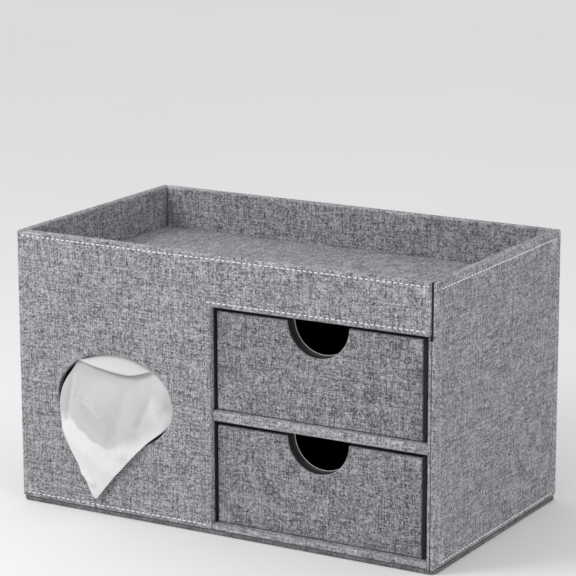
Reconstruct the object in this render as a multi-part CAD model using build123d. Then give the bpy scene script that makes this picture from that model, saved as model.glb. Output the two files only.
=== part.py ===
"""Desk tissue box with two drawers, an open top tray and a rear loading door.

Frame, in millimetres: +Z up, the origin on the table under the middle of the box,
+X to the right as seen from the front, and the front faces -Y.
Every wall is a stiff board with a linen-weave cover outside and a lining inside.
"""

import math
import os

from build123d import *

# ---- driving dimensions: the case ----
body_width = 260.0
body_depth = 150.0
body_height = 155.0
board = 3.0
cover = 1.0
lining = 1.0
base_sheet_thickness = 2.0
base_corner_radius = 4.0
bottom_board_thickness = 2.6
bottom_front_recess = 1.0
tray_depth = 24.0
bay_width = 130.0
shelf_board_thickness = 3.8
shelf_front_recess = 2.0
front_turn_in = 20.0
outer_edge_radius = 1.6
strip_overlap = 1.9
strip_slot = 0.6

# ---- driving dimensions: the oval tissue mouth ----
oval_half_width = 37.2
oval_half_height = 26.0
oval_shift = 0.6
oval_height = 65.8

# ---- driving dimensions: the drawers ----
drawer_cover = 0.8
drawer_lining = 0.8
drawer_side_board = 2.0
drawer_front_board = 6.4
drawer_bottom_board = 2.4
drawer_recess = 5.0
drawer_side_gap = 1.2
drawer_top_gap = 2.6
drawer_rear_gap = 2.0
drawer_seam = 0.3
running_gap = 0.3
notch_radius = 18.5
drawer_edge_radius = 0.7

# ---- driving dimensions: the loading door ----
door_gap = 0.8
door_seat_gap = 0.3
hinge_gap = 2.4
hinge_cloth = 0.8
catch_block_size = 8.0
catch_block_height = 14.0
catch_block_inset = 16.0
magnet_radius = 3.0
magnet_thickness = 2.0
tab_width = 12.0
tab_length = 20.0
tab_overhang = 8.0
tab_thickness = 0.8
tab_lift = 0.4

# ---- driving dimensions: the tissues ----
pack_left_room = 14.0
pack_block_room = 2.5
pack_front_room = 14.0
pack_rear_room = 13.7
pack_head_room = 17.4
pack_edge_radius = 7.0
sheet_thickness = 1.6
sheet_fold_depth = 1.5
sheet_folds = 5
sheet_clearance = 0.5
sheet_side_room = 3.0
sheet_tip_height = 9.0
sheet_tip_width = 4.5
sheet_pack_gap = 1.3
sheet_climb = 12.0
sheet_slope = 40.0
# half widths of the sheet, as shares of what the mouth leaves for it
sheet_root_share = 0.65
sheet_inner_share = 0.8
sheet_right_share = 0.9
sheet_taper_share = 0.75
sheet_low_left_share = 0.8
sheet_low_right_share = 0.1
sheet_tip_share = 0.43

# ---- planes of the case ----
wall = cover + board + lining
x_left = -body_width / 2
x_right = body_width / 2
y_front = -body_depth / 2
y_back = body_depth / 2
x_left_in = x_left + wall
x_right_in = x_right - wall
y_front_in = y_front + wall
y_back_in = y_back - wall
x_bay = x_right_in - bay_width
x_divider = x_bay - wall
z_base = base_sheet_thickness
z_floor = z_base + bottom_board_thickness + lining
z_tray = body_height - tray_depth
z_bay_top = z_tray - wall
shelf_thickness = shelf_board_thickness + 2 * lining
bay_height = (z_bay_top - z_floor - shelf_thickness) / 2
z_shelf = z_floor + bay_height
z_upper_floor = z_shelf + shelf_thickness
y_shelf = y_front + shelf_front_recess
x_strip_end = x_right_in + strip_overlap
y_seat = y_back_in - door_seat_gap
oval_x = (x_left_in + x_divider) / 2 + oval_shift
door_x0 = x_left_in + hinge_gap
door_x1 = x_bay - door_gap
door_z0 = z_floor + door_gap
door_z1 = z_bay_top - door_gap
magnet_x = x_divider - catch_block_size / 2
catch_centres = (
    z_floor + catch_block_inset + catch_block_height / 2,
    z_bay_top - catch_block_inset - catch_block_height / 2,
)


def slab(x0, x1, y0, y1, z0, z1):
    """A box between two planes along each axis."""
    centre = Pos((x0 + x1) / 2, (y0 + y1) / 2, (z0 + z1) / 2)
    return centre * Box(x1 - x0, y1 - y0, z1 - z0)


def round_edges(part, radius, axis, where):
    """Round the straight edges along an axis whose middle passes the test."""
    chosen = [edge for edge in part.edges().filter_by(axis) if where(edge.center())]
    return fillet(chosen, radius)


def near(a, b):
    return abs(a - b) < 0.01


def oval_plug(grow, y0, y1):
    """The oval mouth as a solid between two depths, larger all round by grow."""
    plane = Plane(origin=(oval_x, y1, oval_height), x_dir=(1, 0, 0), z_dir=(0, -1, 0))
    outline = plane * Ellipse(oval_half_width + grow, oval_half_height + grow)
    return extrude(outline, amount=y1 - y0)


# ---- the case ----
def base_sheet():
    sheet = slab(x_left, x_right, y_front, y_back, 0, z_base)
    return fillet(sheet.edges().filter_by(Axis.Z), base_corner_radius)


def bottom_board():
    z_top = z_base + bottom_board_thickness
    inner = slab(x_left_in, x_right_in, y_front_in, y_back_in, z_base, z_top)
    under_drawers = slab(x_bay, x_right_in, y_front + bottom_front_recess + cover, y_front_in, z_base, z_top)
    sill = slab(x_left_in, x_bay, y_back_in, y_back - cover, z_base, z_top)
    return inner + under_drawers + sill


def bottom_cover():
    """The grey turn-in that wraps the bottom board's front edge in the drawer bay."""
    edge_y = y_front + bottom_front_recess
    wrap = slab(x_bay, x_right_in, edge_y, edge_y + cover, z_base, z_floor)
    top = slab(x_bay, x_right_in, edge_y, y_front + front_turn_in, z_floor - lining, z_floor)
    return round_edges(wrap + top, lining * 0.8, Axis.X, lambda c: near(c.Y, edge_y) and near(c.Z, z_floor))


def sill_cover():
    """The grey turn-in that wraps the bottom board's rear edge under the loading door."""
    wrap = slab(x_left_in, x_bay, y_back - cover, y_back, z_base, z_floor)
    top = slab(x_left_in, x_bay, y_seat, y_back, z_floor - lining, z_floor)
    return round_edges(wrap + top, lining * 0.8, Axis.X, lambda c: near(c.Y, y_back) and near(c.Z, z_floor))


def left_board():
    return slab(x_left + cover, x_left_in - lining, y_front_in, y_back - cover, z_base, body_height - cover)


def left_cover():
    """Outside, rim, rear end and the inside of the tray, round the left board."""
    envelope = slab(x_left, x_left_in, y_front_in, y_back, z_base, body_height)
    below_tray = slab(x_left_in - lining, x_left_in, y_front_in, y_seat, z_base, z_bay_top + lining)
    part = envelope - left_board() - below_tray
    return round_edges(part, outer_edge_radius, Axis.Z, lambda c: near(c.X, x_left) and near(c.Y, y_back))


def right_notch():
    """Where the front panel's end sits in the front edge of the right wall."""
    return slab(
        x_right_in - 1,
        x_strip_end + strip_slot,
        y_front - 1,
        y_front_in + 0.01,
        z_bay_top - strip_slot,
        body_height + 1,
    )


def right_core():
    """The room inside the right wall's cover."""
    z_top = body_height - cover
    return slab(x_right_in + lining, x_right - cover, y_front + cover, y_back - cover, z_base, z_top)


def right_board():
    return right_core() - right_notch()


def right_cover():
    """Outside, rim, both ends and the inside of the tray, round the right board."""
    envelope = slab(x_right_in, x_right, y_front, y_back, z_base, body_height)
    turned = y_front + front_turn_in
    lined = slab(x_right_in, x_right_in + lining, turned, y_back - cover, z_base, z_bay_top + lining)
    part = envelope - right_core() - lined - right_notch()
    return round_edges(part, outer_edge_radius, Axis.Z, lambda c: near(c.X, x_right))


def back_outline(inset, y0, y1):
    """The L-shaped back panel, smaller all round by inset."""
    right = slab(x_bay + inset, x_right_in - inset, y0, y1, z_base, body_height - inset)
    strip = slab(x_left_in + inset, x_right_in - inset, y0, y1, z_bay_top + inset, body_height - inset)
    return right + strip


def back_board():
    return back_outline(cover, y_back_in + lining, y_back - cover)


def back_cover():
    """Outside, rim, door jamb and the inside of the tray, round the back board."""
    lined = slab(x_bay + cover, x_right_in, y_back_in, y_back_in + lining, z_base, z_bay_top + lining)
    return back_outline(0, y_back_in, y_back) - back_board() - lined


def front_outline(inset, y0, y1):
    """The L-shaped front panel, smaller all round by inset."""
    left = slab(x_left + inset, x_bay - inset, y0, y1, z_base + inset, body_height - inset)
    strip = slab(x_left + inset, x_strip_end - inset, y0, y1, z_bay_top + inset, body_height - inset)
    return left + strip


def front_board():
    return front_outline(cover, y_front + cover, y_front_in - lining) - oval_plug(cover, y_front, y_front_in)


def front_cover():
    """Outside, rim, mouth, bay jamb and the inside of the tray, round the front board."""
    radius = outer_edge_radius
    y_core = y_front_in - lining
    whole = front_outline(0, y_front, y_front_in)
    whole = round_edges(whole, radius, Axis.Z, lambda c: near(c.Y, y_front) and c.X < x_strip_end - 1)
    whole = round_edges(whole, radius, Axis.X, lambda c: near(c.Y, y_front) and c.Z > z_base + 1)
    core = front_outline(cover, y_front + cover, y_core)
    z0 = z_floor - lining
    z1 = z_bay_top + lining
    lined = slab(x_left_in - lining, x_divider + lining, y_core, y_front_in, z0, z1)
    return whole - core - lined - oval_plug(0, y_front - 1, y_front_in + 1)


def divider_board():
    z0 = z_base + bottom_board_thickness
    z1 = z_bay_top + lining
    return slab(x_divider + lining, x_bay - lining, y_front_in, y_seat, z0, z1)


def shelf_board():
    return slab(
        x_bay, x_right_in, y_shelf + lining, y_back_in, z_shelf + lining, z_upper_floor - lining
    )


def shelf_cover():
    """The grey turn-in that wraps the shelf's front edge."""
    envelope = slab(x_bay, x_right_in, y_shelf, y_front + front_turn_in, z_shelf, z_upper_floor)
    envelope = round_edges(envelope, outer_edge_radius, Axis.X, lambda c: near(c.Y, y_shelf))
    return envelope - shelf_board()


def tray_board():
    return slab(x_left_in, x_right_in, y_front_in, y_back_in, z_bay_top + lining, z_tray - cover)


def tray_lining():
    return slab(x_left_in, x_right_in, y_front_in, y_back_in, z_tray - cover, z_tray)


def open_box(x0, x1, y0, y1, z0, z1, thickness, front=False):
    """A lining sleeve round a hollow: sides, top, bottom, and a front or a back."""
    t = thickness
    outer_y0 = y0 - t if front else y0
    outer_y1 = y1 if front else y1 + t
    return slab(x0 - t, x1 + t, outer_y0, outer_y1, z0 - t, z1 + t) - slab(x0, x1, y0, y1, z0, z1)


def tissue_bay_lining():
    sleeve = open_box(x_left_in, x_divider, y_front_in, y_seat, z_floor, z_bay_top, lining, front=True)
    return sleeve - oval_plug(0, y_front, y_front_in + 1)


def drawer_bay_lining(z0, z1, y_floor, y_ceiling):
    """A bay's lining, with floor and ceiling starting behind the turned-in covers."""
    sleeve = open_box(x_bay, x_right_in, y_front_in, y_back_in, z0, z1, lining)
    side = slab(x_right_in, x_right, y_front_in - 1, y_front + front_turn_in, z0 - wall, z1 + wall)
    floor = slab(x_bay - wall, x_right, y_front_in - 1, y_floor, z0 - lining, z0)
    ceiling = slab(x_bay - wall, x_right, y_front_in - 1, y_ceiling, z1, z1 + lining)
    divider_end = slab(x_bay - wall, x_bay, y_seat, y_back, z0 - wall, z1 + wall)
    jamb = slab(x_bay - wall, x_bay + cover, y_back_in, y_back, z0 - wall, z1 + wall)
    return sleeve - side - floor - ceiling - divider_end - jamb


def upper_bay_lining():
    turned = y_front + front_turn_in
    return drawer_bay_lining(z_upper_floor, z_bay_top, turned, y_front_in)


def lower_bay_lining():
    turned = y_front + front_turn_in
    return drawer_bay_lining(z_floor, z_shelf, turned, turned)


def disc(x, y0, y1, z, radius):
    """A round disc whose axis runs along Y."""
    plane = Plane(origin=(x, y1, z), x_dir=(1, 0, 0), z_dir=(0, -1, 0))
    return extrude(plane * Circle(radius), amount=y1 - y0)


def catch_block(z):
    half = catch_block_height / 2
    size = catch_block_size
    block = slab(x_divider - size, x_divider, y_seat - size, y_seat, z - half, z + half)
    return block - catch_magnet(z)


def catch_magnet(z):
    return disc(magnet_x, y_seat - magnet_thickness, y_seat, z, magnet_radius)


# ---- the loading door ----
def door_core(y0, y1):
    """The room inside the door cover's edges, between two depths."""
    return slab(door_x0 + cover, door_x1 - cover, y0, y1, door_z0 + cover, door_z1 - cover)


def door_board():
    part = door_core(y_back_in + lining, y_back - cover)
    for z in catch_centres:
        part -= door_magnet(z)
    return part


def door_cover():
    envelope = slab(door_x0, door_x1, y_back_in, y_back, door_z0, door_z1)
    envelope = round_edges(envelope, lining * 0.8, Axis.Z, lambda c: near(c.Y, y_back) and near(c.X, door_x1))
    return envelope - door_core(y_back_in - 1, y_back - cover)


def door_lining():
    part = door_core(y_back_in, y_back_in + lining)
    for z in catch_centres:
        part -= door_magnet(z)
    return part


def door_magnet(z):
    return disc(magnet_x, y_back_in, y_back_in + magnet_thickness, z, magnet_radius)


def door_hinge_strip():
    return slab(x_left_in, door_x0, y_back - hinge_cloth, y_back, door_z0, door_z1)


def door_pull_tab():
    """A ribbon glued on the door, whose free end stands a little off the back panel."""
    middle = (door_z0 + door_z1) / 2
    z0 = middle - tab_width / 2
    z1 = middle + tab_width / 2
    glued = slab(door_x1 - tab_length, door_x1 - cover, y_back, y_back + tab_thickness, z0, z1)
    free_y = y_back + tab_lift
    free = slab(door_x1 - 2 * cover, door_x1 + tab_overhang, free_y, free_y + tab_thickness, z0, z1)
    return glued + free


# ---- the drawers ----
drawer_wall = drawer_cover + drawer_side_board + drawer_lining
drawer_front = drawer_cover + drawer_front_board + drawer_lining
drawer_height = bay_height - drawer_top_gap - running_gap
drawer_x0 = x_bay + drawer_side_gap
drawer_x1 = x_right_in - drawer_side_gap
drawer_y0 = y_front + drawer_recess
drawer_y1 = y_back_in - drawer_rear_gap
drawer_seam_x = drawer_x1 - drawer_wall
drawer_back_of_front = drawer_y0 + drawer_cover + drawer_front_board
notch_x = (drawer_x0 + drawer_seam_x - drawer_seam) / 2


def notch_plug(z_top, radius, y0, y1):
    """The half-round finger notch as a cylinder centred on the drawer's top edge."""
    return disc(notch_x, y0, y1, z_top, radius)


def drawer_parts(z0):
    """Every piece of a drawer that stands on height z0."""
    z1 = z0 + drawer_height
    c = drawer_cover
    x0, x1, y0, y1 = drawer_x0, drawer_x1, drawer_y0, drawer_y1
    floor_z = z0 + drawer_bottom_board
    front_end = drawer_seam_x - drawer_seam

    front_block = slab(x0, front_end, y0, drawer_back_of_front, z0, z1)
    front_core = slab(x0 + c, front_end - c, y0 + c, drawer_back_of_front, z0 + c, z1 - c)
    rounded = round_edges(front_block, drawer_edge_radius, Axis.X, lambda p: near(p.Y, y0))
    rounded = round_edges(rounded, drawer_edge_radius, Axis.Z, lambda p: near(p.Y, y0))
    wide_notch = notch_plug(z1, notch_radius + c, y0 - 1, drawer_back_of_front)
    notch = notch_plug(z1, notch_radius, y0 - 1, drawer_back_of_front + drawer_lining + 1)

    left_board = slab(x0 + c, x0 + c + drawer_side_board, drawer_back_of_front, y1 - c, z0, z1 - c)
    right_board = slab(x1 - c - drawer_side_board, x1 - c, y0 + c, y1 - c, z0, z1 - c)
    inner_x0 = x0 + c + drawer_side_board
    inner_x1 = x1 - c - drawer_side_board
    back_board = slab(inner_x0, inner_x1, y1 - c - drawer_side_board, y1 - c, z0, z1 - c)
    inner_y1 = y1 - c - drawer_side_board
    bottom = slab(inner_x0, inner_x1, drawer_back_of_front, inner_y1, z0, floor_z)

    band = slab(x0, x1, y0, y1, z0, z1)
    band = round_edges(band, drawer_edge_radius, Axis.Z, lambda p: near(p.X, x1) or near(p.Y, y1))
    band -= slab(x0 - 1, drawer_seam_x, y0 - 1, drawer_back_of_front, z0 - 1, z1 + 1)
    band -= left_board + right_board + back_board
    band -= slab(inner_x0, inner_x1, drawer_back_of_front - 1, inner_y1, z0 - 1, z1 - c)
    band -= slab(
        x0 + drawer_wall, x1 - drawer_wall, drawer_back_of_front - 1, y1 - drawer_wall, z0 - 1, z1 + 1
    )

    shell = slab(inner_x0, inner_x1, drawer_back_of_front, inner_y1, floor_z, z1 - c)
    hollow = slab(
        inner_x0 + drawer_lining,
        inner_x1 - drawer_lining,
        drawer_back_of_front + drawer_lining,
        inner_y1 - drawer_lining,
        floor_z + drawer_lining,
        z1 + 1,
    )
    return {
        "front_board": front_core - wide_notch,
        "front_cover": rounded - (front_core - wide_notch) - notch,
        "left_board": left_board,
        "right_board": right_board,
        "back_board": back_board,
        "bottom_board": bottom,
        "side_cover": band,
        "lining": shell - hollow - notch,
    }


# ---- the tissues ----
pack_x0 = x_left_in + pack_left_room
pack_x1 = x_divider - catch_block_size - pack_block_room
pack_y0 = y_front_in + pack_front_room
pack_y1 = y_seat - pack_rear_room


def tissue_pack():
    block = slab(pack_x0, pack_x1, pack_y0, pack_y1, z_floor, z_bay_top - pack_head_room)
    return fillet(block.edges(), pack_edge_radius)


def mouth_reach(z):
    """Half the width that the mouth leaves for the sheet at a height."""
    share = (z - oval_height) / oval_half_height
    return oval_half_width * math.sqrt(1 - share**2) - sheet_side_room


def sheet_section(x0, x1, y, z, slope, depth):
    """A wavy ribbon outline across the sheet, square to its run, which rises at slope degrees."""
    across = Vector(0, math.sin(math.radians(slope)), math.cos(math.radians(slope)))
    step = (x1 - x0) / sheet_folds
    middle = Vector((x0 + x1) / 2, y, z)

    def point(x, offset):
        return Vector(x - middle.X, 0, 0) + middle + across * offset

    def wave(offset, order):
        arcs = []
        for i in order:
            bulge = depth if i % 2 else -depth
            start = point(x0 + i * step, offset)
            end = point(x0 + (i + 1) * step, offset)
            top = point(x0 + (i + 0.5) * step, offset + bulge)
            arcs.append(ThreePointArc(start, top, end))
        return arcs

    half = sheet_thickness / 2
    low = wave(-half, range(sheet_folds))
    high = wave(half, range(sheet_folds))
    ends = [
        Line(point(x1, -half), point(x1, half)),
        Line(point(x0, half), point(x0, -half)),
    ]
    return make_face(Wire(low + high + ends))


def tissue_sheet():
    """The pulled-out tissue: out of the pack, over the mouth and down to a point."""
    hang_y = y_front - sheet_clearance - sheet_fold_depth - sheet_thickness / 2
    low = oval_height - oval_half_height
    low_edge = low + oval_half_height / 6
    taper_z = (low * 3 + sheet_tip_height * 2) / 5
    crest = oval_height + oval_half_height / 3
    reach = mouth_reach(oval_height)
    crest_reach = mouth_reach(crest)
    tip_x = oval_x - reach * sheet_tip_share
    tip_half = sheet_tip_width / 2
    flat = sheet_fold_depth / 2

    def section(half, left, right, y, z, slope, depth):
        """A section from the left share to the right share of a half width."""
        return sheet_section(oval_x - half * left, oval_x + half * right, y, z, slope, depth)

    root = sheet_root_share
    inner = sheet_inner_share
    right = sheet_right_share
    root_y = pack_y0 - sheet_pack_gap
    sections = [
        section(reach, root, root, root_y, crest - sheet_climb, sheet_slope, flat),
        section(crest_reach, inner, inner, y_front_in + 2, crest - 2, sheet_slope, flat),
        section(crest_reach, 1, right, y_front - 1, crest, 0, flat),
        section(reach, 1, right, hang_y, oval_height, -80, sheet_fold_depth),
        section(reach, 1, sheet_taper_share, hang_y, low_edge, -90, sheet_fold_depth),
        section(reach, sheet_low_left_share, sheet_low_right_share, hang_y, taper_z, -90, sheet_fold_depth),
        sheet_section(tip_x - tip_half, tip_x + tip_half, hang_y, sheet_tip_height, -90, flat / 2),
    ]
    sheet = loft(sections[:2], ruled=True)
    for upper, lower in zip(sections[1:], sections[2:]):
        sheet += loft([upper, lower], ruled=True)
    return sheet


def write(name, part):
    export_step(part, f"parts/{name}.step")


def main():
    os.makedirs("parts", exist_ok=True)
    singles = {
        "base_sheet": base_sheet,
        "bottom_board": bottom_board,
        "bottom_cover": bottom_cover,
        "sill_cover": sill_cover,
        "left_board": left_board,
        "left_cover": left_cover,
        "right_board": right_board,
        "right_cover": right_cover,
        "back_board": back_board,
        "back_cover": back_cover,
        "front_board": front_board,
        "front_cover": front_cover,
        "divider_board": divider_board,
        "shelf_board": shelf_board,
        "shelf_cover": shelf_cover,
        "tray_board": tray_board,
        "tray_lining": tray_lining,
        "tissue_bay_lining": tissue_bay_lining,
        "upper_bay_lining": upper_bay_lining,
        "lower_bay_lining": lower_bay_lining,
        "door_hinge_strip": door_hinge_strip,
        "door_board": door_board,
        "door_cover": door_cover,
        "door_lining": door_lining,
        "door_pull_tab": door_pull_tab,
        "tissue_pack": tissue_pack,
        "tissue_sheet": tissue_sheet,
    }
    for name, make in singles.items():
        write(name, make())
    for place, z in zip(("lower", "upper"), catch_centres):
        write(f"catch_block_{place}", catch_block(z))
        write(f"catch_magnet_{place}", catch_magnet(z))
        write(f"door_magnet_{place}", door_magnet(z))
    for place, z in (("lower", z_floor), ("upper", z_upper_floor)):
        for piece, part in drawer_parts(z + running_gap).items():
            write(f"{place}_drawer_{piece}", part)


main()
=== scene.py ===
"""Looks of a desk tissue box with two drawers, an open tray and a loading door.

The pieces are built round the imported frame, in its own axes and in metres: +Z up,
+X to the right as seen from the front, and the front faces -Y. A panel is a ring of
points round its outline, repeated at each step of an edge profile.
"""

import math
import random

import bmesh
import bpy
import numpy as np
from mathutils import Matrix, Vector, noise


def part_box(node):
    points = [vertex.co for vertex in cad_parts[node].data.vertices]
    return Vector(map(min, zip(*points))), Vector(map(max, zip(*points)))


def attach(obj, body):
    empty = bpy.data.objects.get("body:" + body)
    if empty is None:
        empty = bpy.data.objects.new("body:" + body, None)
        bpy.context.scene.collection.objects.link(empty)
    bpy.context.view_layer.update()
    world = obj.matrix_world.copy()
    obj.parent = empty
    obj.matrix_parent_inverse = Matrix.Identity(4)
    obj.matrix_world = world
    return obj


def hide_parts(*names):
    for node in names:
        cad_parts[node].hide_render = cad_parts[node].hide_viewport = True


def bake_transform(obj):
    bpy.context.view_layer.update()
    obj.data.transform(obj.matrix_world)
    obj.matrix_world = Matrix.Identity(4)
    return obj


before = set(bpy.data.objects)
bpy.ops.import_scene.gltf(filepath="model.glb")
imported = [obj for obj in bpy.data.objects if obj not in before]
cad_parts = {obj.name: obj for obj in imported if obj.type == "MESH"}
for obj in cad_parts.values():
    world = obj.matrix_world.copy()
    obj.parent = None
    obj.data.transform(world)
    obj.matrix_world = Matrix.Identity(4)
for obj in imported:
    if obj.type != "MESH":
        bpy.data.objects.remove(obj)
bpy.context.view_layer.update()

MM = 0.001

# ---- planes of the case, from the frame ----
base_low, base_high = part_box("base_sheet")
left_x, right_x = base_low.x, base_high.x
front_y, back_y = base_low.y, base_high.y
base_z = base_high.z
rim_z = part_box("left_cover")[1].z
inner_left_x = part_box("left_cover")[1].x
inner_right_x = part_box("right_cover")[0].x
inner_front_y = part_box("front_cover")[1].y
inner_back_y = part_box("back_cover")[0].y
strip_end_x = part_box("front_cover")[1].x
tray_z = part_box("tray_lining")[1].z
shelf_low, shelf_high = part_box("shelf_cover")
sill_low, sill_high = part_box("sill_cover")
door_low, door_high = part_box("door_cover")
bottom_low, bottom_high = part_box("bottom_cover")
bay_x = shelf_low.x
floor_z = bottom_high.z
lining_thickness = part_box("tray_lining")[1].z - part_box("tray_lining")[0].z
bay_top_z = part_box("upper_bay_lining")[1].z - lining_thickness
divider_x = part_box("divider_board")[0].x - lining_thickness
seat_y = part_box("divider_board")[1].y
pack_low, pack_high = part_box("tissue_pack")

# ---- sizes of the cloth work ----
wall = right_x - inner_right_x
skin_recess = 0.2 * MM
panel_thickness = wall - skin_recess
lining_recess = 0.1 * MM
mouth_x, mouth_z = -66.9 * MM, 65.8 * MM
mouth_half_width, mouth_half_height = 37.2 * MM, 26.0 * MM
outer_radius = 1.6 * MM
inner_radius = 1.2 * MM
butt_radius = 0.8 * MM
least_radius = 0.05 * MM
thin_edges = 0.02 * MM, 0.1 * MM
seam_inset = 2.7 * MM
seam_depth = 0.35 * MM
seam_reach = 0.8 * MM
hem_rise = 0.2 * MM
side_top_hem = 1.5 * MM
side_end_hem = 2.6 * MM

# ---- stitches ----
stitch_pitch = 3.3 * MM
stitch_half_length = 1.25 * MM
shortest_stitch, longest_stitch = 0.92, 1.06
greatest_slant = 0.05
thread_radius = 0.34 * MM
stitch_lift = 0.16 * MM
stitch_sink = 0.5 * MM

# ---- fineness of the meshes; support is a flat ring's distance from a rounded edge ----
support = 0.5 * MM
side_spacing = 5.0 * MM
mouth_points = 96
notch_points = 36
corner_points = 5
round_steps = 4

random.seed(11)


# ---- building meshes ----
def cross(a, b):
    return a.x * b.y - a.y * b.x


def left_of(direction):
    return Vector((-direction.y, direction.x))


def moved_corner(before, here, after, first, second):
    """Where two sides meet once they are moved inward by two distances."""
    d1 = (here - before).normalized()
    d2 = (after - here).normalized()
    start = here + left_of(d1) * first
    other = here + left_of(d2) * second
    turn = cross(d1, d2)
    if abs(turn) < 1e-6:
        return start
    return start + d1 * (cross(other - start, d2) / turn)


def rounded_corner(before, here, after, place, radius):
    """The points of a rounded corner at place, between the sides that meet there."""
    d1 = (here - before).normalized()
    d2 = (after - here).normalized()
    turn = math.atan2(cross(d1, d2), d1.dot(d2))
    side = math.copysign(1.0, turn)
    centre = place - d1 * (radius * math.tan(abs(turn) / 2)) + left_of(d1) * radius * side
    arm = left_of(d1) * -radius * side
    points = []
    for i in range(corner_points):
        angle = turn * i / (corner_points - 1)
        points.append(centre + Matrix.Rotation(angle, 2) @ arm)
    return points


def ring(outline, inset, extra=None):
    """Points round an outline of (u, v, corner radius), moved inward by inset.

    The outline runs anticlockwise. extra adds to the inset of each side, where side i
    runs from corner i to the next.
    """
    count = len(outline)
    extra = extra or [0.0] * count
    places = [Vector((u, v)) for u, v, _ in outline]
    corners = []
    for i, (_, _, radius) in enumerate(outline):
        before, here, after = places[i - 1], places[i], places[(i + 1) % count]
        place = moved_corner(before, here, after, inset + extra[i - 1], inset + extra[i])
        if radius == 0:
            corners.append([place])
            continue
        convex = cross(here - before, after - here) > 0
        radius = max(radius - inset if convex else radius + inset, least_radius)
        corners.append(rounded_corner(before, here, after, place, radius))
    points = []
    for i, corner in enumerate(corners):
        points += corner
        start, end = corner[-1], corners[(i + 1) % count][0]
        pieces = max(1, round((places[(i + 1) % count] - places[i]).length / side_spacing))
        points += [start.lerp(end, k / pieces) for k in range(1, pieces)]
    return points


def join_rings(bm, first, second):
    for i in range(len(first)):
        j = (i + 1) % len(first)
        bm.faces.new((first[i], first[j], second[j], second[i]))


def sweep(bm, outline, profile, place, extra=None):
    """Rings of an outline at each (inset, depth, hem) of a profile, joined by faces."""
    rings = []
    for inset, depth, hem in profile:
        points = ring(outline, inset, extra if hem else None)
        rings.append([bm.verts.new(place(p.x, p.y, depth)) for p in points])
    for first, second in zip(rings, rings[1:]):
        join_rings(bm, first, second)
    return rings


def fill(bm, *rings):
    """Flat faces inside the first ring and outside any others."""
    edges = []
    for loop in rings:
        for i, vert in enumerate(loop):
            edges.append(bm.edges.get((vert, loop[(i + 1) % len(loop)])))
    bmesh.ops.triangle_fill(bm, use_beauty=True, use_dissolve=False, edges=edges)


def edge_profile(thickness, inner, outer):
    """From the inner skin round the edge to the outer face, with rounded corners."""
    profile = [(inner + support, 0.0, False)]
    for i in range(round_steps + 1):
        angle = math.pi / 2 * i / round_steps
        profile.append((inner * (1 - math.sin(angle)), inner * (1 - math.cos(angle)), False))
    for i in range(round_steps + 1):
        angle = math.pi / 2 * i / round_steps
        depth = thickness - outer * (1 - math.sin(angle))
        profile.append((outer * (1 - math.cos(angle)), depth, False))
    return profile


def plain_profile(thickness, inner, outer):
    """A rounded edge that ends in a flat ring on the outer face."""
    return edge_profile(thickness, inner, outer) + [(outer + support, thickness, False)]


def hemmed_profile(inner, outer):
    """A panel's edge with a sewn channel inside its turned hem."""
    thickness = panel_thickness
    field = thickness - hem_rise
    half = seam_reach / 2
    return edge_profile(thickness, inner, outer) + [
        (seam_inset - seam_reach, thickness, True),
        (seam_inset - half, thickness - seam_depth / 3, True),
        (seam_inset, thickness - seam_depth, True),
        (seam_inset + half, field - seam_depth / 5, True),
        (seam_inset + seam_reach, field, True),
        (seam_inset + seam_reach + support, field, True),
    ]


def lay_weave(mesh):
    """A UV map in metres, on the two axes that each face lies along."""
    layer = mesh.uv_layers.new(name="weave")
    count = len(mesh.loops)
    corners = np.empty(count, np.int32)
    mesh.loops.foreach_get("vertex_index", corners)
    places = np.empty(len(mesh.vertices) * 3, np.float32)
    mesh.vertices.foreach_get("co", places)
    places = places.reshape(-1, 3)[corners]
    normals = np.empty(len(mesh.polygons) * 3, np.float32)
    mesh.polygons.foreach_get("normal", normals)
    axis = np.abs(normals.reshape(-1, 3)).argmax(1)
    corner_counts = np.empty(len(mesh.polygons), np.int32)
    mesh.polygons.foreach_get("loop_total", corner_counts)
    axis = np.repeat(axis, corner_counts)
    across = np.where(axis == 0, places[:, 1], places[:, 0])
    along = np.where(axis == 2, places[:, 1], places[:, 2])
    layer.data.foreach_set("uv", np.stack([across, along], 1).astype(np.float32).ravel())


def mesh_object(name, bm):
    """A mesh object in the scene, with outward faces, made from a mesh that is then freed."""
    bmesh.ops.recalc_face_normals(bm, faces=bm.faces)
    mesh = bpy.data.meshes.new(name)
    bm.to_mesh(mesh)
    bm.free()
    obj = bpy.data.objects.new(name, mesh)
    bpy.context.scene.collection.objects.link(obj)
    return obj


def piece(name, bm, material, body="case", nodes=()):
    """A finished piece with its weave map and material, which rides on a body of the frame.

    A piece whose body is None is not attached to any body.
    """
    obj = mesh_object(name, bm)
    lay_weave(obj.data)
    obj.data.shade_smooth()
    obj.data.materials.append(material)
    if body:
        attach(obj, body)
    if nodes:
        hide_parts(*nodes)
    return obj


def cut(bm, *cutters):
    """The mesh with each cutter's solid taken away."""
    holder = mesh_object("uncut", bm)
    tools = [mesh_object("cutter", cutter) for cutter in cutters]
    for tool in tools:
        step = holder.modifiers.new("cut", "BOOLEAN")
        step.object = tool
        step.solver = "EXACT"
    shown = holder.evaluated_get(bpy.context.evaluated_depsgraph_get())
    result = bmesh.new()
    result.from_mesh(shown.to_mesh())
    shown.to_mesh_clear()
    for obj in [holder, *tools]:
        mesh = obj.data
        bpy.data.objects.remove(obj)
        bpy.data.meshes.remove(mesh)
    return result


def facing(axis, base):
    """How an outline's (u, v) and a depth lie in the frame, for a panel that faces axis."""
    return {
        "-y": lambda u, v, w: (u, base - w, v),
        "+y": lambda u, v, w: (u, base + w, v),
        "-x": lambda u, v, w: (base - w, u, v),
        "+x": lambda u, v, w: (base + w, u, v),
        "+z": lambda u, v, w: (u, v, base + w),
    }[axis]


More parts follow.
